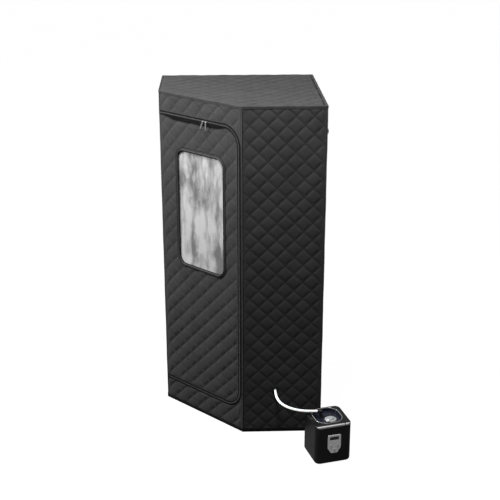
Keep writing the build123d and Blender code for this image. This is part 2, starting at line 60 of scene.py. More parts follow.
# ---- the doorway, the window and the quilting, as the CAD has them ----
ZIP_RIGHT, ZIP_RADIUS, CUT = 580.0, 100.0, 4.0
ZIP_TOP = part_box("door_panel")[1].z / MM + CUT
ZIP_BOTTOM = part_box("door_panel")[0].z / MM - CUT
DOOR_LEFT = 8.0
WINDOW_CENTRE, WINDOW_SIZE, WINDOW_RADIUS = (301.0, 1189.0), (325.0, 625.0), 44.0
WINDOW_BAND, WINDOW_LAP = 18.0, 6.0
QUILT = 92.0  # a diamond's diagonal
SEAMS = {  # where the rising and the falling seams cross the side's zero
    "door": (15.0, 52.0), "front": (85.0, 7.0), "right": (40.0, 20.0),
    "back": (12.0, 60.0), "left": (70.0, 33.0), "plan": (30.0, 30.0),
}

# ---- camera: where the photograph was taken from ----
CAMERA_AT = Vector((-0.1206, -5.3117, 2.8345))
AZIMUTH, ELEVATION, ROLL = radians(-1.892), radians(19.979), radians(-0.049)
LENS, SENSOR, CLIP_END = 73.283, 36.0, 100.0

back = Vector((sin(AZIMUTH) * cos(ELEVATION), -cos(AZIMUTH) * cos(ELEVATION), sin(ELEVATION)))
level = Vector((0, 0, 1)).cross(back).normalized()
above = back.cross(level)
camera_x = level * cos(ROLL) + above * sin(ROLL)
camera_y = above * cos(ROLL) - level * sin(ROLL)
camera = bpy.data.objects.new("camera", bpy.data.cameras.new("camera"))
camera.data.lens, camera.data.sensor_width = LENS, SENSOR
camera.data.clip_end = CLIP_END
turn = Matrix((camera_x, camera_y, back)).transposed()
camera.matrix_world = Matrix.Translation(CAMERA_AT) @ turn.to_4x4()
bpy.context.scene.collection.objects.link(camera)
bpy.context.scene.camera = camera


# ---- materials ----
NOISE_RANGE = 0.3, 0.7


class Shader:
    """A node material round one Principled shader."""

    def __init__(self, name, **sockets):
        self.material = bpy.data.materials.new(name)
        self.material.use_nodes = True
        self.tree = self.material.node_tree
        self.main = self.tree.nodes["Principled BSDF"]
        for socket, value in sockets.items():
            self.main.inputs[socket.replace("_", " ")].default_value = value

    def node(self, kind, *wires, **settings):
        """Adds a node; wires go into its inputs in order, as sockets or plain values."""
        made = self.tree.nodes.new("ShaderNode" + kind)
        for key, value in settings.items():
            if key in made.inputs:
                made.inputs[key].default_value = value
            else:
                setattr(made, key, value)
        for index, wire in enumerate(wires):
            if isinstance(wire, bpy.types.NodeSocket):
                self.tree.links.new(wire, made.inputs[index])
            elif wire is not None:
                made.inputs[index].default_value = wire
        return made

    def math(self, operation, *wires):
        return self.node("Math", *wires, operation=operation).outputs[0]

    def noise(self, where, scale, detail=3.0, roughness=0.55):
        made = self.node("TexNoise", where, Scale=scale, Detail=detail, Roughness=roughness)
        return made.outputs["Fac"]

    def stretched(self, where, by):
        return self.node("VectorMath", where, by, operation="MULTIPLY").outputs[0]

    def spread(self, value, low, high):
        """Brings the range where noise mostly lies to low to high."""
        return self.node("MapRange", value, *NOISE_RANGE, low, high).outputs[0]

    def near(self, distance, width):
        """1 where distance is 0, and 0 from width on."""
        made = self.node("MapRange", distance, 0.0, width, 1.0, 0.0,
                         interpolation_type="SMOOTHSTEP")
        return made.outputs[0]

    def blend(self, factor, first, second):
        """Mixes two colours; a Mix node's colours are its sockets 6, 7 and, going out, 2."""
        wires = [factor] + [None] * 5 + [first, second]
        return self.node("Mix", *wires, data_type="RGBA").outputs[2]

    def wire(self, value, socket):
        self.tree.links.new(value, self.main.inputs[socket])

    def bump(self, height, distance, strength=1.0):
        made = self.node("Bump", Strength=strength, Distance=distance)
        self.tree.links.new(height, made.inputs["Height"])
        self.wire(made.outputs[0], "Normal")


def grey(value, tint=(1.0, 1.0, 1.0)):
    return (value * tint[0], value * tint[1], value * tint[2], 1.0)


def object_place(made):
    return made.node("TexCoord").outputs["Object"]


def moulded(name, tone, tone_2, rough, rough_2, scale=60.0, bump=0.00015, grain=900.0, **sockets):
    """Plastic, rubber or metal: two tones and two roughnesses by noise, and a fine grain."""
    made = Shader(name, **sockets)
    place = object_place(made)
    cloud = made.noise(place, scale)
    made.wire(made.blend(made.spread(cloud, 0.0, 1.0), tone, tone_2), "Base Color")
    made.wire(made.spread(made.noise(place, scale * 2.3), rough, rough_2), "Roughness")
    made.bump(made.noise(place, grain, 2.0), bump)
    return made.material


def brushed(name, tone, tone_2, rough, stretch):
    """Metal with fine lines along one direction."""
    made = Shader(name, Metallic=1.0)
    place = object_place(made)
    lines = made.noise(made.stretched(place, stretch), 1.0, 4.0, 0.7)
    made.wire(made.blend(made.spread(lines, 0.0, 1.0), tone, tone_2), "Base Color")
    made.wire(made.spread(made.noise(place, 40.0), rough, rough + 0.12), "Roughness")
    made.bump(lines, 0.00006)
    return made.material


def weave(made, across, along, pitch):
    """Height of a plain weave of that pitch, from 0 to 1."""
    warp = made.math("SINE", made.math("MULTIPLY", across, 2 * pi / pitch))
    weft = made.math("SINE", made.math("MULTIPLY", along, 2 * pi / pitch))
    return made.math("MULTIPLY_ADD", made.math("MULTIPLY", warp, weft), 0.5, 0.5)


THREAD, STITCH, STITCH_GAP, WEAVE = 0.0011, 0.0042, 0.13, 0.0016
# width and strength of the painted shade that darkens the cloth along the quilting's seams
SEAM_SHADE_WIDTH, PAINTED_SEAM_SHADE = 0.0046, 0.75
WAVER = 0.13  # how far the window's painted columns of shade wander, in metres


def quilted_cloth(name, tone, tone_2, seam_shade_tone, faint=0.0):
    """Cloth with a stitched seam where either coordinate of its map is a multiple of QUILT,
    and painted shade that darkens the cloth near each seam, where the groove is shaded.
    faint makes the first coordinate's band of painted seam shade narrower by that much, as if
    the light fell along those seams."""
    made = Shader(name, Specular_IOR_Level=0.08, Sheen_Weight=0.04, Sheen_Roughness=0.45)
    place = object_place(made)
    split = made.node("SeparateXYZ", made.node("UVMap", uv_map="cloth").outputs[0]).outputs
    rising, falling = split[0], split[1]
    half = QUILT * MM / 2
    seams = [made.math("PINGPONG", side, half) for side in (rising, falling)]
    nearest = made.math("MINIMUM", made.math("ADD", seams[0], faint), seams[1])
    seam = made.near(nearest, SEAM_SHADE_WIDTH)
    thread = [made.near(side, THREAD) for side in seams]
    stitch = [made.math("PINGPONG", side, STITCH / 2) for side in (falling, rising)]
    stitch = [made.math("GREATER_THAN", side, STITCH * STITCH_GAP) for side in stitch]
    sewn = made.math(
        "MAXIMUM",
        made.math("MULTIPLY", thread[0], stitch[0]),
        made.math("MULTIPLY", thread[1], stitch[1]),
    )
    cloud = made.noise(place, 9.0, 4.0)
    cloth = made.blend(made.spread(cloud, 0.0, 1.0), tone, tone_2)
    # painted shade: the cloth darkens towards the seam's shade tone near each seam
    cloth = made.blend(made.math("MULTIPLY", seam, PAINTED_SEAM_SHADE), cloth, seam_shade_tone)
    made.wire(made.blend(sewn, cloth, tone_2), "Base Color")
    made.wire(made.spread(made.noise(place, 120.0), 0.62, 0.8), "Roughness")
    across = made.math("ADD", rising, falling)
    along = made.math("SUBTRACT", rising, falling)
    woven = weave(made, across, along, WEAVE)
    height = made.math("MULTIPLY_ADD", sewn, 2.5, woven)
    height = made.math("MULTIPLY_ADD", made.noise(place, 55.0), 3.0, height)
    made.bump(height, 0.00022)
    return made.material


def tape_cloth(name, tone, tone_2, rib=0.0018, sewn_tone=None, shine=0.09):
    """Binding tape: ribs across it, and a row of stitches where the map's V is 0."""
    made = Shader(name, Specular_IOR_Level=shine, Sheen_Weight=shine / 3, Sheen_Roughness=0.4)
    place = object_place(made)
    split = made.node("SeparateXYZ", made.node("UVMap", uv_map="cloth").outputs[0]).outputs
    along, across = split[0], split[1]
    row = made.near(made.math("ABSOLUTE", across), THREAD)
    stitch = made.math("PINGPONG", along, STITCH / 2)
    stitch = made.math("GREATER_THAN", stitch, STITCH * STITCH_GAP)
    sewn = made.math("MULTIPLY", row, stitch)
    cloth = made.blend(made.spread(made.noise(place, 30.0), 0.0, 1.0), tone, tone_2)
    made.wire(made.blend(sewn, cloth, sewn_tone or grey(0.05)), "Base Color")
    made.wire(made.spread(made.noise(place, 150.0), 0.5, 0.7), "Roughness")
    ribs = weave(made, along, across, rib)
    height = made.math("MULTIPLY_ADD", sewn, 2.0, ribs)
    made.bump(height, 0.0002)
    return made.material


def vinyl_sheet(name):
    """Cloudy clear vinyl drawn as an opaque sheet with painted light: pale streaks of painted
    reflection run down it over painted shade that stands for the dark inside.
    """
    made = Shader(name, Specular_IOR_Level=0.35, Coat_Weight=0.15)
    place = object_place(made)
    blots = made.noise(made.stretched(place, (26.0, 26.0, 7.0)), 1.0, 4.0, 0.66)
    patches = made.noise(made.stretched(place, (7.0, 7.0, 3.4)), 1.0, 2.0)
    mix = made.math("MULTIPLY_ADD", patches, 0.5, made.math("MULTIPLY", blots, 0.5))
    split = made.node("SeparateXYZ", place).outputs
    along = made.math("MULTIPLY", made.math("SUBTRACT", split[0], split[1]), sqrt(0.5))
    waver = made.noise(made.stretched(place, (9.0, 9.0, 16.0)), 1.0, 4.0)
    along = made.math("MULTIPLY_ADD", waver, WAVER, along)
    middle = WINDOW_CENTRE[0] * MM - HALF * MM * sqrt(0.5) + WAVER / 2
    low = made.near(made.math("ABSOLUTE", made.math("SUBTRACT", split[2], 0.93)), 0.5)
    shade_columns = [  # from the middle, half width, darkness: painted shade, a whole one and one low on the right
        (-0.06, 0.045, 0.07),
        (0.14, 0.075, made.math("MULTIPLY", low, 0.1)),
    ]
    for centre, width, dark in shade_columns:
        away = made.math("ABSOLUTE", made.math("SUBTRACT", along, middle + centre))
        mix = made.math("SUBTRACT", mix, made.math("MULTIPLY", made.near(away, width), dark))
    mix = made.math("ADD", mix, 0.012)
    # the ramp turns the mix into painted light: dark as the shaded inside, pale as reflections in
    # the wavy sheet
    ramp = made.node("ValToRGB", mix)
    for stop, (position, tone) in zip(ramp.color_ramp.elements, ((0.38, 0.09), (0.55, 0.28))):
        stop.position, stop.color = position, grey(tone)
    made.wire(ramp.outputs[0], "Base Color")
    made.wire(made.spread(made.noise(place, 14.0), 0.25, 0.42), "Roughness")
    made.bump(made.noise(made.stretched(place, (9.0, 9.0, 3.0)), 1.0, 3.0), 0.006, 0.6)
    return made.material


# each cloth's third tone is the painted shade near its seams
CLOTH = quilted_cloth("quilted_cloth", grey(0.0165), grey(0.0225), grey(0.005))
DOOR_CLOTH = quilted_cloth("door_cloth", grey(0.0165), grey(0.0225), grey(0.004), 0.0022)
LINING = quilted_cloth("lining_cloth", grey(0.055), grey(0.075), grey(0.03))
TAPE = tape_cloth("binding_tape", grey(0.016), grey(0.022))
EDGING = tape_cloth("window_edging", grey(0.017), grey(0.023))
HEM = tape_cloth("hem_tape", grey(0.005), grey(0.008), sewn_tone=grey(0.02), shine=0.02)
PIPING = tape_cloth("piping_tape", grey(0.034), grey(0.044), shine=0.03)
# near black: the zip tape's own black, deepened as painted shade in the gaps beside the teeth, and
# the painted shadow strip under the zip's top run
ZIP_TAPE_AND_SHADOW = tape_cloth("zip_tape", grey(0.003), grey(0.005), rib=0.0012, sewn_tone=grey(0.01),
                      shine=0.015)
WEBBING = tape_cloth("webbing", grey(0.014), grey(0.02), rib=0.0026)
VINYL = vinyl_sheet("window_vinyl")
COIL = moulded("zip_coil", grey(0.03), grey(0.045), 0.4, 0.55, Specular_IOR_Level=0.3)
ZIP_METAL = moulded("zip_metal", grey(0.15), grey(0.07), 0.36, 0.5, 300.0, 0.0001, 900.0,
                    Metallic=0.4)
MAT_CLOTH = quilted_cloth("mat_cloth", grey(0.02), grey(0.028), grey(0.01))
POLE = brushed("pole_steel", grey(0.55), grey(0.42), 0.3, (160.0, 160.0, 160.0))
SOCKET = moulded("connector_plastic", grey(0.4), grey(0.46), 0.4, 0.52)
BLACK = moulded("black_plastic", grey(0.006), grey(0.008), 0.32, 0.45, Specular_IOR_Level=0.25)
CASE = moulded("case_gloss", grey(0.005), grey(0.0065), 0.2, 0.27, 25.0, 0.00004, 500.0,
               Specular_IOR_Level=0.3)
RUBBER = moulded("foot_rubber", grey(0.012), grey(0.018), 0.7, 0.85, bump=0.0003)
STEEL = brushed("screw_steel", grey(0.55), grey(0.45), 0.3, (500.0, 500.0, 500.0))
SILVER = moulded("silver_trim", grey(0.42), grey(0.34), 0.3, 0.42, 90.0, 0.00008, 700.0,
                 Metallic=0.35)
CHROME = moulded("chrome_ring", grey(0.3), grey(0.24), 0.2, 0.3, 70.0, 0.00003, 500.0,
                 Metallic=0.4)
TANK = brushed("tank_steel", grey(0.5), grey(0.42), 0.32, (400.0, 400.0, 30.0))
LID = moulded("smoked_lid", grey(0.006, (0.85, 0.95, 1.5)), grey(0.01, (0.85, 0.95, 1.7)),
              0.1, 0.18, 30.0, 0.00003, 200.0, Specular_IOR_Level=0.35)
SPECKLED = moulded("cap_plastic", grey(0.09, (0.92, 0.97, 1.0)), grey(0.3, (0.95, 0.98, 1.0)),
                   0.35, 0.55, 260.0, 0.0002, 700.0)
KNOB = moulded("knob_plastic", grey(0.4), grey(0.46), 0.3, 0.4, 120.0)
BOARD = moulded("circuit_board", (0.01, 0.07, 0.03, 1), (0.015, 0.1, 0.04, 1), 0.4, 0.55, 300.0)
PLATE = moulded("silver_plate", grey(0.5), grey(0.95), 0.4, 0.55, 420.0, 0.0001, 900.0,
                Metallic=0.3)
GLASS = moulded("display_glass", grey(0.012), grey(0.016), 0.08, 0.12, Coat_Weight=0.5)
KEY = moulded("key_plastic", grey(0.35), grey(0.45), 0.3, 0.4)
HOSE = moulded("hose_silicone", grey(0.7), grey(0.76), 0.32, 0.42, 90.0, 0.0002, 260.0,
               Subsurface_Weight=0.15)


# ---- steam hose ----
HOSE_R = 6.5
HOSE_ROUTE = [
    (0.1755, -0.433, 0.255),
    (0.1755, -0.471, 0.255),
    (0.183, -0.516, 0.245),
    (0.204, -0.558, 0.238),
    (0.238, -0.594, 0.236),
    (0.284, -0.624, 0.237),
    (0.332, -0.643, 0.241),
    (0.383, -0.643, 0.241),
]


def make_hose():
    curve = bpy.data.curves.new("steam_hose_line", "CURVE")
    curve.dimensions = "3D"
    line = curve.splines.new("NURBS")
    line.points.add(len(HOSE_ROUTE) - 1)
    for point, place in zip(line.points, HOSE_ROUTE):
        point.co = (*place, 1.0)
    line.order_u = 3
    line.use_endpoint_u = True
    line.resolution_u = 12
    curve.bevel_depth = HOSE_R * MM
    curve.bevel_resolution = 8
    curve.use_fill_caps = True
    curve.materials.append(HOSE)
    hose = bpy.data.objects.new("soft_steam_hose", curve)
    bpy.context.scene.collection.objects.link(hose)
    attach(hose, "cabin")
    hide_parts("steam_hose")


make_hose()


# ---- flat frames: each is an origin and the directions along, up and outward ----
SIDES = ["door", "front", "right", "back", "left"]


def plan_corners(inset=0.0):
    h, k = HALF - inset, inset * (sqrt(2) - 1)
    return [(-h, k), (k, -h), (h, -h), (h, h), (-h, h)]


def flat_frame(side):
    if side == "plan":
        return Vector(), Vector((1, 0, 0)), Vector((0, 1, 0)), Vector((0, 0, 1))
    index = SIDES.index(side)
    corners = [Vector((*corner, 0.0)) for corner in plan_corners()]
    along = (corners[(index + 1) % 5] - corners[index]).normalized()
    up = Vector((0, 0, 1))
    return corners[index], along, up, along.cross(up)


def side_length(side):
    index = SIDES.index(side)
    corners = [Vector(corner) for corner in plan_corners()]
    return (corners[(index + 1) % 5] - corners[index]).length


def placed(side, s, z, n):
    """Points in metres from flat coordinates: s along, z up and n outward from the hem's face."""
    origin, along, up, outward = (np.array(axis) for axis in flat_frame(side))
    s, z, n = (np.asarray(value, float)[:, None] for value in (s, z, n))
    return (origin + along * s + up * z + outward * n) * MM


def make_object(name, points, faces, materials, slots=None, uvs=None, sharp=50.0):
    mesh = bpy.data.meshes.new(name)
    mesh.from_pydata([tuple(point) for point in points], [], faces)
    mesh.polygons.foreach_set("use_smooth", [True] * len(mesh.polygons))
    for each in materials:
        mesh.materials.append(each)
    if slots is not None:
        mesh.polygons.foreach_set("material_index", slots)
    if uvs is not None:
        layer = mesh.uv_layers.new(name="cloth")
        corners = np.zeros(len(mesh.loops), np.int32)
        mesh.loops.foreach_get("vertex_index", corners)
        layer.data.foreach_set("uv", np.asarray(uvs, np.float32)[corners].ravel())
    mesh.set_sharp_from_angle(angle=radians(sharp))
    mesh.update()
    made = bpy.data.objects.new(name, mesh)
    bpy.context.scene.collection.objects.link(made)
    return made


# ---- outlines ----
SQUARE = (-1, -1), (1, -1), (1, 1), (-1, 1)


def rounded_path(corners, radii, closed, step=8.0):
    """Points, and unit normals to the right of travel, along runs joined by arcs."""
    count = len(corners)
    points, normals = [], []

    def run(start, end):
        way = end - start
        pieces = max(1, round(way.length / step))
        right = Vector((way.y, -way.x)).normalized()
        for i in range(pieces + 1):
            points.append(start + way * (i / pieces))
            normals.append(right)

    corners = [Vector(corner) for corner in corners]
    entries, exits = [], []
    for i, here in enumerate(corners):
        before, after = corners[i - 1], corners[(i + 1) % count]
        into, out = (here - before).normalized(), (after - here).normalized()
        half_turn = into.angle(out) / 2
        if not closed and i in (0, count - 1) or not radii[i]:
            entries.append(here)
            exits.append(here)
            continue
        reach = radii[i] * np.tan(half_turn)
        entries.append(here - into * reach)
        exits.append(here + out * reach)
    for i in range(count if closed else count - 1):
        after = (i + 1) % count
        run(exits[i], entries[after])
        if radii[after] and (closed or after < count - 1):
            into = (corners[after] - corners[i]).normalized()
            out = (corners[(after + 1) % count] - corners[after]).normalized()
            side = 1 if into.cross(out) > 0 else -1
            centre = entries[after] + Vector((-into.y, into.x)) * radii[after] * side
            arm = entries[after] - centre
            whole = into.angle(out) * side
            pieces = max(3, round(abs(whole) * radii[after] / min(step, radii[after] / 2)))
            for j in range(1, pieces):
                spot = Matrix.Rotation(whole * j / pieces, 2) @ arm
                points.append(centre + spot)
                normals.append(spot.normalized() * side)
    points, normals = np.array(points), np.array(normals)
    keep = np.r_[True, np.hypot(*np.diff(points, axis=0).T) > 1e-6]
    if closed and np.hypot(*(points[0] - points[-1])) < 1e-6:
        keep[-1] = False
    return points[keep], normals[keep]


def doorway_path(left, grow, step=8.0):
    """The zip's line from its lower left end round to its upper left, moved outward by grow."""
    right, top, low = ZIP_RIGHT + grow, ZIP_TOP + grow, ZIP_BOTTOM - grow
    corners = [(left, low), (right, low), (right, top), (left, top)]
    radius = ZIP_RADIUS + grow
    return rounded_path(corners, [0, radius, radius, 0], False, step)


def window_path(grow, step=8.0):
    half_w, half_h = WINDOW_SIZE[0] / 2 + grow, WINDOW_SIZE[1] / 2 + grow
    corners = [(WINDOW_CENTRE[0] + x * half_w, WINDOW_CENTRE[1] + y * half_h) for x, y in SQUARE]
    return rounded_path(corners, [WINDOW_RADIUS + grow] * 4, True, step)


def inside_box(s, z, left, right, low, high, radius=0.0):
    """How far inside a rounded rectangle's edge each point is."""
    x = np.abs(s - (left + right) / 2) - (right - left) / 2 + radius
    y = np.abs(z - (low + high) / 2) - (high - low) / 2 + radius
    return radius - np.hypot(np.maximum(x, 0), np.maximum(y, 0)) - np.minimum(np.maximum(x, y), 0)


def inside_doorway(s, z, left, grow):
    box = inside_box(s, z, -1000.0, ZIP_RIGHT + grow, ZIP_BOTTOM - grow, ZIP_TOP + grow,
                     ZIP_RADIUS + grow)
    return np.minimum(box, s - left)


def inside_window(s, z, grow):
    half_w, half_h = WINDOW_SIZE[0] / 2 + grow, WINDOW_SIZE[1] / 2 + grow
    x, y = WINDOW_CENTRE
    return inside_box(s, z, x - half_w, x + half_w, y - half_h, y + half_h, WINDOW_RADIUS + grow)


def inside_plan(s, z, inset):
    square = inside_box(s, z, inset - HALF, HALF - inset, inset - HALF, HALF - inset)
    return np.minimum(square, (s + z + HALF) / sqrt(2) - inset)


# ---- cloth ----
def fill(loops, inner, inside):
    """Triangles that fill a region: its outline loops, and points inside it."""
    points, edges = [], []
    for loop in loops:
        first = len(points)
        points += [Vector(point) for point in loop]
        edges += [(first + i, first + (i + 1) % len(loop)) for i in range(len(loop))]
    points += [Vector(point) for point in inner]
    found = delaunay_2d_cdt(points, edges, [], 0, 0.001)
    flat, faces = np.array([tuple(v) for v in found[0]]), np.array(found[2])
    middle = flat[faces].mean(axis=1)
    faces = faces[inside(middle[:, 0], middle[:, 1]) > 0]
    a, b, c = (flat[faces[:, i]] for i in range(3))
    area = np.cross(b - a, c - a)
    faces[area < 0] = faces[area < 0][:, ::-1]
    return flat, faces[np.abs(area) > 1e-3]


def lattice(inside, low, high, seams, parts, margin):
    """Points on lines along the seams, where every parts-th line is a seam."""
    step = QUILT / parts
    rise_0, fall_0 = seams
    rises = np.arange(np.floor((low[0] + low[1] - rise_0) / step),
                      np.ceil((high[0] + high[1] - rise_0) / step) + 1) * step + rise_0
    falls = np.arange(np.floor((low[1] - high[0] - fall_0) / step),
                      np.ceil((high[1] - low[0] - fall_0) / step) + 1) * step + fall_0
    rise, fall = (grid.ravel() for grid in np.meshgrid(rises, falls))
    s, z = (rise - fall) / 2, (rise + fall) / 2
    keep = inside(s, z) > margin
    return np.stack([s[keep], z[keep]], 1)


def seam_distance(value):
    """From 0 in a seam to 1 halfway to the next."""
    return 1 - np.abs((value / QUILT) % 1 * 2 - 1)


def pillows(s, z, seams, fall_off):
    """The quilting's rise, 0 in its seams, with each diamond a little different."""
    rise, fall = z + s - seams[0], z - s - seams[1]
    crown = 1 - (1 - seam_distance(rise)) ** fall_off[0]
    crown = crown * (1 - (1 - seam_distance(fall)) ** fall_off[1])
    cell = np.floor(rise / QUILT) * 12.9898 + np.floor(fall / QUILT) * 78.233
    odd = (np.sin(cell) * 43758.5453) % 1  # a number from 0 to 1 that looks random
    return crown * (0.86 + 0.28 * odd)


def slack(s, z, seed):
    """Long low waves in hanging cloth, from about -1 to 1."""
    waves = 0
    for i, (long, wide) in enumerate(((610, 430), (330, 270), (190, 240))):
        waves = waves + np.sin(s / wide * 2 * pi + seed * (i + 1.7)) * np.sin(
            z / long * 2 * pi + seed * (2.3 * i + 0.4)
        ) / (i + 1.2)
    return waves


def eased(value, width):
    part = np.clip(value / width, 0, 1)
    return part * part * (3 - 2 * part)


def shell(name, side, flat, faces, front, rear, materials, seams):
    """A closed sheet between two heights over the same triangles, its rim included."""
    s, z = flat.T
    count = len(flat)
    points = np.r_[placed(side, s, z, front), placed(side, s, z, rear)]
    edges = np.sort(np.r_[faces[:, [0, 1]], faces[:, [1, 2]], faces[:, [2, 0]]], axis=1)
    directed = np.r_[faces[:, [0, 1]], faces[:, [1, 2]], faces[:, [2, 0]]]
    _, index, times = np.unique(edges, axis=0, return_index=True, return_counts=True)
    rim = directed[index[times == 1]]
    rim_faces = np.c_[rim[:, 1], rim[:, 0], rim[:, 0] + count, rim[:, 1] + count]
    every = faces.tolist() + (faces[:, ::-1] + count).tolist() + rim_faces.tolist()
    slots = [0] * len(faces) + [1] * len(faces) + [0] * len(rim_faces)
    around = np.c_[z + s - seams[0], z - s - seams[1]] * MM
    return make_object(name, points, every, materials, slots, np.r_[around, around])


PUFF, SEAM_DEPTH, LINING_PUFF, SLACK = 4.0, 2.0, 0.9, 0.8
DOOR_PUFF = (500.0, 1100.0), (5.2, 2.9)  # heights on the door, and its pillows' rise there
EVEN, DIAGONAL = (3.4, 3.4), (6.0, 2.6)  # how steeply pillows fall to rising and falling seams
FINE, COARSE = 16, 10  # lattice lines to a diamond


def quilted(node, side, loops, inside, parts=FINE, body="cabin",
            level=-PROUD, thick=5.0, seed=1.0, flat_edge=3.0, edge=22.0, shape=None,
            puff=PUFF, materials=None,
            fall_off=EVEN):
    """A quilted panel that stands for a CAD node. puff is one rise, or heights and rises."""
    corners = np.concatenate(loops)
    seams = SEAMS[side]
    inner = lattice(inside, corners.min(0), corners.max(0), seams, parts, QUILT / parts * 0.35)
    flat, faces = fill(loops, inner, inside)
    s, z = flat.T
    deep = eased(inside(s, z) - flat_edge, edge)
    crown = pillows(s, z, seams, fall_off)
    if isinstance(puff, tuple):
        puff = np.interp(z, *puff)
    front = level - SEAM_DEPTH * deep + puff * crown * deep + SLACK * slack(s, z, seed) * deep
    rear = level - thick - LINING_PUFF * crown * deep
    if shape is not None:
        moved = shape(s, z)
        front, rear = front + moved, rear + moved
    made = shell(f"soft_{node}", side, flat, faces, front, rear, materials or [CLOTH, LINING],
                 seams)
    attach(made, body)
    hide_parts(node)
    return made


def box_loop(left, right, low, high):
    corners = [(left, low), (right, low), (right, high), (left, high)]
    return rounded_path(corners, [0] * 4, True)[0]


PORT_HOLE_R = 12.4


def make_walls():
    for seed, side in enumerate(("front", "right", "back", "left"), 1):
        left, right = EDGE_GAP, side_length(side) - EDGE_GAP
        loops = [box_loop(left, right, WALL_LOW, WALL_TOP)]
        hole = None
        if side == "front":
            low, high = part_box("port_flange")
            hole = (low.x + high.x) / 2 / MM, (low.z + high.z) / 2 / MM
            corners = [(hole[0] + x * PORT_HOLE_R, hole[1] + z * PORT_HOLE_R) for x, z in SQUARE]
            loops.append(rounded_path(corners, [PORT_HOLE_R] * 4, True, 3.0)[0])

        def inside(s, z, left=left, right=right, hole=hole):
            away = inside_box(s, z, left, right, WALL_LOW, WALL_TOP)
            if hole is not None:
                away = np.minimum(away, np.hypot(s - hole[0], z - hole[1]) - PORT_HOLE_R)
            return away

        quilted(f"{side}_panel", side, loops, inside,
                FINE if side == "front" else COARSE, seed=seed * 1.9)


def make_surround():
    right = side_length("door") - EDGE_GAP
    cut = doorway_path(EDGE_GAP, CUT)[0]
    outline = [(EDGE_GAP, WALL_LOW), (right, WALL_LOW), (right, WALL_TOP), (EDGE_GAP, WALL_TOP)]
    outer = rounded_path(outline, [0] * 4, False)[0]
    loop = np.r_[outer, cut[::-1]]

    def inside(s, z):
        box = inside_box(s, z, EDGE_GAP, right, WALL_LOW, WALL_TOP)
        return np.minimum(box, -inside_doorway(s, z, -1000.0, CUT))

    quilted("door_surround", "door", [loop], inside, seed=7.7,
            flat_edge=6.0, edge=16.0, puff=DOOR_PUFF, fall_off=DIAGONAL,
            materials=[DOOR_CLOTH, LINING])


def make_door():
    outline = doorway_path(DOOR_LEFT, -CUT)[0]
    hole = window_path(WINDOW_LAP)[0]

    def inside(s, z):
        return np.minimum(inside_doorway(s, z, DOOR_LEFT, -CUT), -inside_window(s, z, WINDOW_LAP))

    def tuck(s, z):
        """The cloth hangs in a shallow fold under the zip's top run."""
        below = ZIP_TOP - 26 - z
        where = eased(s - 60, 90) * eased(470 - s, 60)
        return -3.2 * np.exp(-((below / 15) ** 2)) * where

    quilted("door_panel", "door", [outline, hole], inside, body="door",
            seed=4.1, flat_edge=8.0, edge=18.0, shape=tuck, puff=DOOR_PUFF,
            fall_off=DIAGONAL, materials=[DOOR_CLOTH, LINING])


def make_roof():
    loop = rounded_path(plan_corners(PROUD), [0] * 5, True)[0]

    def inside(s, z):
        return inside_plan(s, z, PROUD)

    def sag(s, z):
        deep = eased(inside(s, z) - 30, 300)
        return -9.0 * deep + 0.9 * np.sin(s / 47) * eased(z - 330, 60)

    quilted("roof_panel", "plan", [loop], inside, level=HEIGHT - PROUD,
            seed=2.9, flat_edge=12.0, edge=30.0, shape=sag)


def make_mat():
    inset = PROUD + 0.3
    loop = rounded_path(plan_corners(inset), [0] * 5, True, 16.0)[0]

    def inside(s, z):
        return inside_plan(s, z, inset)

    quilted("floor_mat", "plan", [loop], inside, COARSE,
            level=MAT - 0.6, thick=2.0, seed=5.3, puff=1.0,
            materials=[MAT_CLOTH, MAT_CLOTH])


VINYL_LEVEL, VINYL_THICK = -5.9, 0.7


def make_vinyl():
    grow = WINDOW_LAP - 0.5
    loop = window_path(grow, 10.0)[0]

    def inside(s, z):
        return inside_window(s, z, grow)

    low, high = loop.min(0), loop.max(0)
    grid = np.meshgrid(np.arange(low[0], high[0], 8.0), np.arange(low[1], high[1], 10.0))
    inner = np.stack([axis.ravel() for axis in grid], 1)
    inner = inner[inside(*inner.T) > 3.0]
    flat, faces = fill([loop], inner, inside)
    s, z = flat.T
    deep = eased(inside(s, z) - 6, 40)
    lean = s + 14 * np.sin(z / 90)
    waves = 0.9 * np.sin(lean / 17) + 0.7 * np.sin(lean / 9.3 + z / 60)
    waves = waves + 1.1 * np.sin(z / 75 + s / 40)
    front = VINYL_LEVEL + waves * deep * 0.8
    made = shell("soft_door_window", "door", flat, faces, front, front - VINYL_THICK,
                 [VINYL, VINYL], (0, 0))
    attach(made, "door")
    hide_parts("door_window")


# ---- strips that run along a path ----
NO_SEAM = 30.0


def sweep(name, side, path, profile, closed, material, body, nodes, seam=0.0, wave=None):
    """A closed profile of (right of the path, outward) points, carried along the path.
    seam is how far along the profile's own outline its row of stitches lies: NO_SEAM is none."""
    points, normals = path
    count, around = len(points), len(profile)
    offsets = np.array(profile, float)
    lengths = np.r_[0, np.cumsum(np.hypot(*np.diff(points, axis=0).T))]
    shape = np.r_[0, np.cumsum(np.hypot(*np.diff(offsets, axis=0).T))]
    flat = points[:, None, :] + normals[:, None, :] * offsets[None, :, 0, None]
    out = np.repeat(offsets[None, :, 1], count, axis=0)
    if wave is not None:
        out = out + wave(lengths)[:, None]
    flat, out = flat.reshape(-1, 2), out.ravel()
    uvs = np.stack(np.broadcast_arrays(lengths[:, None], (shape - seam)[None, :]), -1)
    faces = []
    for i in range(count if closed else count - 1):
        for j in range(around):
            here, there = i * around, (i + 1) % count * around
            k = (j + 1) % around
            faces.append((here + j, there + j, there + k, here + k))
    if not closed:
        last = (count - 1) * around
        faces += [tuple(range(around)), tuple(reversed(range(last, last + around)))]
    made = make_object(name, placed(side, *flat.T, out), faces, [material],
                       uvs=uvs.reshape(-1, 2) * MM)
    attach(made, body)
    if nodes:
        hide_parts(*nodes)
    return made


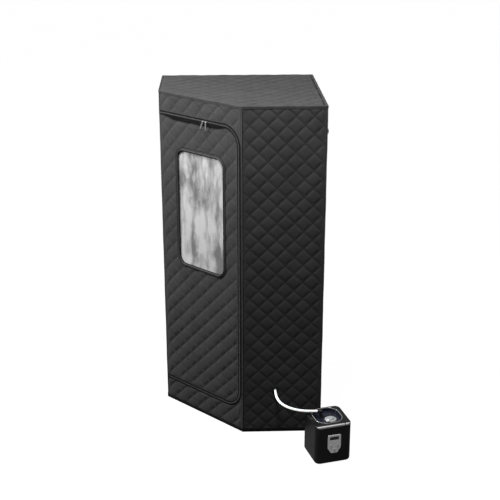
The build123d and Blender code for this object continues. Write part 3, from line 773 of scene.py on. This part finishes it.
def make_bindings():
    plan = rounded_path(plan_corners(), [3.0] * 5, True, 12.0)

    def ripple(length):
        return 0.5 * np.sin(length / 31) + 0.4 * np.sin(length / 13 + 1)

    top = HEIGHT
    sweep("soft_roof_binding", "plan", plan, [
        (-1.8, BINDING_LOW), (-0.4, BINDING_LOW - 0.6), (0.2, BINDING_LOW + 1), (0.3, top - 10),
        (0.9, top - 6), (0.9, top - 2), (0.1, top), (-1.2, top + 0.9), (-3.5, top + 1.0),
        (-6.5, top - 0.2), (-9, top - 2.2), (-9, top - 3.4), (-4, top - 3), (-1.8, top - 5),
    ], True, TAPE, "cabin", ["roof_binding"], seam=3.5, wave=ripple)
    seam_line = rounded_path(plan_corners(24.0), [2.0] * 5, True, 12.0)
    sweep("soft_roof_seam_tape", "plan", seam_line, [
        (-3.0, top - 3.4), (3.0, top - 3.4), (2.8, top - 1.7), (1.6, top - 1.1), (0, top - 1.6),
        (-1.6, top - 1.1), (-2.8, top - 1.7),
    ], True, TAPE, "cabin", [], wave=ripple)
    x, end = HALF - 17.0, HALF - 30.0
    right_line = rounded_path([(x, -end), (x, end)], [0, 0], False, 12.0)
    sweep("soft_roof_right_seam", "plan", right_line, [
        (-2.2, top - 2.4), (2.2, top - 2.4), (1.8, top + 0.1), (0, top + 0.5), (-1.8, top + 0.1),
    ], False, HEM, "cabin", [], seam=NO_SEAM, wave=ripple)
    sweep("soft_bottom_hem", "plan", plan, [
        (-1.8, 0.3), (0.1, 0.3), (0.7, 1.6), (0.8, HEM_HEIGHT - 3), (0.5, HEM_HEIGHT - 1),
        (-0.4, HEM_HEIGHT), (-1.8, HEM_HEIGHT),
    ], True, HEM, "cabin", ["bottom_hem"], seam=17.0)


PIPE_R, PIPE_AROUND = 2.4, 12
STRIP_FACE, STRIP_BACK = 3.4, 4.8  # how far the corner strips lie inside the hem's face


def pipe_down(index, corner, levels, points, faces, uvs):
    """A covered cord down one corner, a little uneven."""
    first = len(points)
    for z in levels:
        lean = 0.35 * sin(z / 57 + index * 2) + 0.2 * sin(z / 23 + index)
        size = PIPE_R + 0.12 * sin(z / 4.1)
        for j in range(PIPE_AROUND):
            a = 2 * pi * j / PIPE_AROUND
            x, y = corner[0] + lean + size * cos(a), corner[1] - lean + size * sin(a)
            points.append((x * MM, y * MM, z * MM))
            uvs.append((z * MM, (j / PIPE_AROUND - 0.5) * 2 * pi * PIPE_R * MM))
    last = first + (len(levels) - 1) * PIPE_AROUND
    for here in range(first, last, PIPE_AROUND):
        there = here + PIPE_AROUND
        for j in range(PIPE_AROUND):
            k = (j + 1) % PIPE_AROUND
            faces.append((here + j, here + k, there + k, there + j))
    faces += [tuple(reversed(range(first, first + PIPE_AROUND))),
              tuple(range(last, last + PIPE_AROUND))]


def strip_down(index, levels, points, faces, uvs):
    """A dark strip bent round one corner, behind the cord, from panel to panel."""
    coming, going = flat_frame(SIDES[index - 1])[1].xy, flat_frame(SIDES[index])[1].xy
    reach = EDGE_GAP + 0.5
    outline = []
    for inset, order in ((STRIP_FACE, 1), (STRIP_BACK, -1)):
        here = Vector(plan_corners(inset)[index])
        outline += [here - coming * reach, here, here + going * reach][::order]
    first, around = len(points), len(outline)
    for z in (levels[0], levels[-1]):
        points += [(x * MM, y * MM, z * MM) for x, y in outline]
        uvs += [(z * MM, 0.01)] * around
    for j in range(around):
        k = (j + 1) % around
        faces.append((first + j, first + k, first + around + k, first + around + j))
    faces += [tuple(first + j for j in end) for end in ((1, 0, 5, 4), (2, 1, 4, 3))]
    faces += [tuple(corner + around for corner in face[::-1]) for face in faces[-2:]]


def make_piping():
    """The cord down each corner, where two panels are sewn together, and the strip behind it."""
    points, faces, uvs = [], [], []
    levels = np.linspace(HEM_HEIGHT - 1, BINDING_LOW + 1, 150)
    for index, corner in enumerate(plan_corners(PIPE_R * 1.15)):
        pipe_down(index, corner, levels, points, faces, uvs)
    slots = [0] * len(faces)
    for index in range(len(SIDES)):
        strip_down(index, levels, points, faces, uvs)
    slots += [1] * (len(faces) - len(slots))
    made = make_object("soft_corner_piping", points, faces, [PIPING, HEM], slots, uvs)
    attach(made, "cabin")
    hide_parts("corner_piping")


def make_window_binding():
    sweep("soft_window_binding", "door", window_path(0.0, 6.0), [
        (5.0, -6.4), (4.4, -1.0), (4.8, 2.0), (6.0, 3.8), (7.8, 4.2), (9.4, 3.6), (10.4, 2.0),
        (11.0, -0.8), (12.6, -1.4), (14.0, 0.4), (15.4, 1.0), (17.2, 0.2), (WINDOW_BAND, -1.6),
        (17, -3.2),
    ], True, EDGING, "door", ["window_binding"], seam=18.0)
    sweep("soft_window_lip", "door", window_path(3.6, 6.0), [
        (-3.0, -6.2), (-2.8, -4.9), (-0.6, -4.2), (0.8, -3.8), (0.9, -6.2),
    ], True, HEM, "door", [], seam=NO_SEAM)
    sweep("soft_window_edge", "door", window_path(WINDOW_BAND + 1.5, 6.0), [
        (-2.6, -2.6), (-2.2, -0.9), (2.2, -0.7), (2.8, -3.4),
    ], True, HEM, "door", [], seam=NO_SEAM)


# ---- zip ----
TAPE_WIDTH, COIL_FAR, PITCH = 11.5, 3.3, 3.0


def make_zip_half(node, body, left, way, phase):
    """A ribbed tape and a row of teeth on one side of the zip's centre line."""
    far, near = way * TAPE_WIDTH, way * COIL_FAR
    tape = [(near, -1.5), (near, -0.4), (way * 4.5, 0.1), (way * 6.5, -0.5), (way * 9.5, -0.3),
            (far, -0.8), (far, -1.5)]
    if way < 0:
        tape = tape[::-1]
    path = doorway_path(left, 0.0, 7.0)
    sweep(f"soft_{node}_tape", "door", path, tape, False, ZIP_TAPE_AND_SHADOW, body, [],
          seam=7.0)
    points, normals = doorway_path(left + 1.5, 0.0, 3.0)
    lengths = np.r_[0, np.cumsum(np.hypot(*np.diff(points, axis=0).T))]
    spots = np.arange(phase * PITCH, lengths[-1], PITCH)
    middle = np.stack([np.interp(spots, lengths, points[:, i]) for i in range(2)], 1)
    right = np.stack([np.interp(spots, lengths, normals[:, i]) for i in range(2)], 1)
    right /= np.linalg.norm(right, axis=1)[:, None]
    ahead = np.stack([-right[:, 1], right[:, 0]], 1)
    tooth = [  # along, right, outward: a bead that is fat at the tip and thin at the tape
        (-1.15, 0.3, -0.6), (1.15, 0.3, -0.6), (0.85, 3.5, -0.9), (-0.85, 3.5, -0.9),
        (-0.9, 0.5, 1.3), (0.9, 0.5, 1.3), (0.6, 3.2, 1.0), (-0.6, 3.2, 1.0),
    ]
    sides = [(0, 1, 5, 4), (1, 2, 6, 5), (2, 3, 7, 6), (3, 0, 4, 7), (4, 5, 6, 7), (3, 2, 1, 0)]
    if way < 0:
        sides = [side[::-1] for side in sides]
    flat, out, faces = [], [], []
    for index in range(len(spots)):
        first = 8 * index
        for along, across, outward in tooth:
            flat.append(middle[index] + ahead[index] * along + right[index] * across * way)
            out.append(outward)
        faces += [tuple(first + corner for corner in side) for side in sides]
    made = make_object(f"soft_{node}_teeth", placed("door", *np.array(flat).T, out), faces, [COIL])
    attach(made, body)
    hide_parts(node)


HINGE_LINE = 5.6  # between the door's left edge and the corner


def make_hinge_strip():
    """The door's sewn edge: a strip of cloth from the door panel to the corner."""
    levels = np.linspace(ZIP_BOTTOM + CUT, ZIP_TOP - CUT, 120)
    line = np.stack([np.full(len(levels), HINGE_LINE), levels], 1)
    path = line, np.tile([1.0, 0.0], (len(levels), 1))
    sweep("soft_hinge_strip", "door", path, [
        (-2.8, -3.2), (-2.8, -2.2), (0, -1.5), (3.4, -1.9), (3.4, -3.2),
    ], False, DOOR_CLOTH, "door", [], seam=1.0)


# painted shadow under the zip's top run, drawn as a dark flap: its ends, and how far it hangs
SHADOW_FLAP_LEFT, SHADOW_FLAP_RIGHT, SHADOW_FLAP_HANG = 40.0, 485.0, 9.0


def make_zip_shadow_flap():
    """A narrow dark flap that hangs under the zip's top run, thin at both ends: a dark strip put
    there as painted shadow under the run.
    """
    steps = 60
    s = np.linspace(SHADOW_FLAP_LEFT, SHADOW_FLAP_RIGHT, steps)
    body = eased(s - SHADOW_FLAP_LEFT, 60) * eased(SHADOW_FLAP_RIGHT - s, 50)
    body = body * np.interp(s, (340, 400), (1.0, 0.65))
    high = np.full(steps, ZIP_TOP - TAPE_WIDTH + 1.0)
    low = high - 2.0 - SHADOW_FLAP_HANG * body * (1 + 0.1 * np.sin(s / 21))
    out, rear = 0.6 + 1.0 * body, np.full(steps, -1.6)
    rows = [(high, rear), (high, out * 0.3), (low, out), (low - 0.6, out * 0.4), (low - 0.4, rear)]
    points = np.concatenate([placed("door", s, row, lift) for row, lift in rows])
    around = len(rows)
    faces = []
    for i in range(steps - 1):
        for j in range(around):
            here, there = j * steps + i, (j + 1) % around * steps + i
            faces.append((here, there, there + 1, here + 1))
    faces += [tuple(j * steps for j in range(around))[::-1],
              tuple(j * steps + steps - 1 for j in range(around))]
    uvs = np.stack([np.tile(s, around), np.repeat(np.arange(around) * 4.0 + 2, steps)], 1) * MM
    made = make_object("soft_zip_shadow_flap", points, faces, [ZIP_TAPE_AND_SHADOW], uvs=uvs)
    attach(made, "door")


# ---- small pieces ----
def make_loop():
    """A short webbing loop on the right wall."""
    low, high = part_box("side_loop")
    middle, half = (low + high) / 2, (high - low) / 2
    steps, width = 22, half.y
    points, uvs, faces = [], [], []
    for i in range(steps + 1):
        a = pi * (i / steps - 0.5)
        for thick in (1.0, 0.62):
            x = low.x + 2 * half.x * cos(a) * thick + 0.0002
            z = middle.z + half.z * sin(a) * (0.93 + 0.07 * thick)
            for y in (-width, width):
                points.append((x, middle.y + y, z))
                uvs.append((i / steps * 0.04, y * 0.9))
    for i in range(steps):
        a, b = 4 * i, 4 * (i + 1)
        faces += [(a, a + 1, b + 1, b), (a + 3, a + 2, b + 2, b + 3), (a + 1, a + 3, b + 3, b + 1),
                  (a + 2, a, b, b + 2)]
    last = 4 * steps
    faces += [(0, 2, 3, 1), (last, last + 1, last + 3, last + 2)]
    made = make_object("soft_side_loop", points, faces, [WEBBING], uvs=uvs)
    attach(made, "cabin")
    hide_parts("side_loop")


CAP_AROUND, CAP_RIM, SCALLOPS, SCALLOP_DEPTH = 96, 27.0, 24, 0.55
KNOB_OFFSET = -0.0155, -0.0245  # from the cap's centre, in metres


def turned(x, y, profile, points, faces):
    """Turns a (radius, height) profile round a point, with scallops where it is at its widest."""
    first = len(points)
    for radius, z in profile:
        for j in range(CAP_AROUND):
            a = 2 * pi * j / CAP_AROUND
            size = radius
            if radius > CAP_RIM:
                size -= SCALLOP_DEPTH * (0.5 + 0.5 * cos(SCALLOPS * a))
            points.append((x + size * cos(a) * MM, y + size * sin(a) * MM, z * MM))
    for here in range(first, len(points) - CAP_AROUND, CAP_AROUND):
        there = here + CAP_AROUND
        for j in range(CAP_AROUND):
            k = (j + 1) % CAP_AROUND
            faces.append((here + j, there + j, there + k, here + k))


def make_cap():
    """The filler cap: a flanged cap with a scalloped rim, a hub and a small knob."""
    low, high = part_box("filler_cap")
    x, y = (low.x + high.x) / 2, (low.y + high.y) / 2
    top, base, outer = high.z / MM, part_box("tank_lid")[0].z / MM, (high.x - low.x) / 2 / MM
    points, faces = [], []
    turned(x, y, [
        (0.01, top), (9, top), (12.5, top - 0.5), (14.8, top - 1.8), (15.6, top - 4),
        (16.2, top - 5.2), (18, top - 5.8), (26, top - 6.2), (28.6, top - 6.9), (outer, top - 8.6),
        (outer, top - 12.4), (outer - 0.8, base + 3), (21, base + 2.9), (21, base - 4.6),
        (19.6, base - 5), (0.01, base - 5),
    ], points, faces)
    slots = [0] * len(faces)
    turned(x + KNOB_OFFSET[0], y + KNOB_OFFSET[1], [
        (0.01, top + 0.6), (5.5, top + 0.5), (7.6, top - 0.2), (8.6, top - 2), (9, top - 7),
    ], points, faces)
    faces.append(tuple(range(len(points) - CAP_AROUND, len(points)))[::-1])
    slots += [1] * (len(faces) - len(slots))
    made = make_object("filler_cap_shell", points, faces, [SPECKLED, KNOB], slots, sharp=35.0)
    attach(made, "filler_cap")
    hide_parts("filler_cap")


FINISHES = [  # a material, and words that the names of its nodes hold
    (POLE, ["upright_", "_rail_"]),
    (SOCKET, ["connectors"]),
    (BLACK, ["port_flange", "steam_diffuser", "steamer_base", "outlet_nozzle", "power_inlet"]),
    (CASE, ["steamer_housing", "top_deck"]),
    (RUBBER, ["steamer_feet", "lid_gasket"]),
    (STEEL, ["base_screws", "heater"]),
    (SILVER, ["trim_bar"]),
    (CHROME, ["chrome_ring"]),
    (TANK, ["water_tank"]),
    (LID, ["tank_lid"]),
    (BOARD, ["circuit_board"]),
    (PLATE, ["control_plate"]),
    (GLASS, ["display"]),
    (KEY, ["_button"]),
    (ZIP_METAL, ["zip_slider_", "zip_pull_"]),
]


def finish_nodes():
    """Gives the CAD nodes that stay their materials."""
    for material, words in FINISHES:
        for name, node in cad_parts.items():
            if any(word in name for word in words):
                for place in node.material_slots:
                    place.material = material


make_walls()
make_surround()
make_door()
make_roof()
make_mat()
make_vinyl()
make_bindings()
make_piping()
make_window_binding()
make_zip_half("zip_half_fixed", "cabin", EDGE_GAP - 6.0, 1, 0.25)
make_zip_half("zip_half_door", "door", DOOR_LEFT, -1, 0.75)
make_hinge_strip()
make_zip_shadow_flap()
make_loop()
make_cap()
finish_nodes()


# ---- stage ----
FLOOR_SEEN, FLOOR_GLOW = 0.985, 0.05  # its brightness to the camera, and as a light
WORLD_SEEN, WORLD_GLOW = 1.0, 0.22
FLOOR_REACH = 60.0
LIGHTS = [  # name, place, target, size, power
    ("key_left", (-2.8, 0.2, 3.0), (-0.2, -0.1, 1.1), 0.8, 270.0),
    ("top_front", (-0.2, -1.3, 3.3), (0.1, -0.2, 1.2), 0.6, 135.0),
]


def make_floor():
    mesh = bpy.data.meshes.new("floor")
    corners = [(x * FLOOR_REACH, y * FLOOR_REACH, 0) for x, y in SQUARE]
    mesh.from_pydata(corners, [], [(0, 1, 2, 3)])
    floor = bpy.data.objects.new("floor", mesh)
    bpy.context.scene.collection.objects.link(floor)
    made = Shader("floor_white", Roughness=0.9, Specular_IOR_Level=0.0, Base_Color=grey(0.05))
    made.main.inputs["Emission Color"].default_value = grey(1.0)
    seen = made.node("LightPath").outputs["Is Camera Ray"]
    made.wire(made.math("MULTIPLY_ADD", seen, FLOOR_SEEN - FLOOR_GLOW, FLOOR_GLOW),
              "Emission Strength")
    mesh.materials.append(made.material)


def make_light(name, place, target, size, power):
    light = bpy.data.lights.new(name, "AREA")
    light.shape, light.size, light.energy = "SQUARE", size, power
    lamp = bpy.data.objects.new(name, light)
    lamp.location = place
    lamp.rotation_mode = "QUATERNION"
    lamp.rotation_quaternion = (Vector(target) - Vector(place)).to_track_quat("-Z", "Y")
    bpy.context.scene.collection.objects.link(lamp)


def make_world():
    """White to the camera, and dimmer as a light."""
    world = bpy.data.worlds.new("world")
    world.use_nodes = True
    tree = world.node_tree
    white, strength = tree.nodes["Background"].inputs[:2]
    white.default_value = grey(1.0)
    seen = tree.nodes.new("ShaderNodeLightPath").outputs["Is Camera Ray"]
    brightness = tree.nodes.new("ShaderNodeMapRange")
    brightness.inputs["To Min"].default_value = WORLD_GLOW
    brightness.inputs["To Max"].default_value = WORLD_SEEN
    tree.links.new(seen, brightness.inputs["Value"])
    tree.links.new(brightness.outputs[0], strength)
    bpy.context.scene.world = world


make_floor()
for light in LIGHTS:
    make_light(*light)
make_world()
bpy.context.scene.view_settings.view_transform = "Standard"
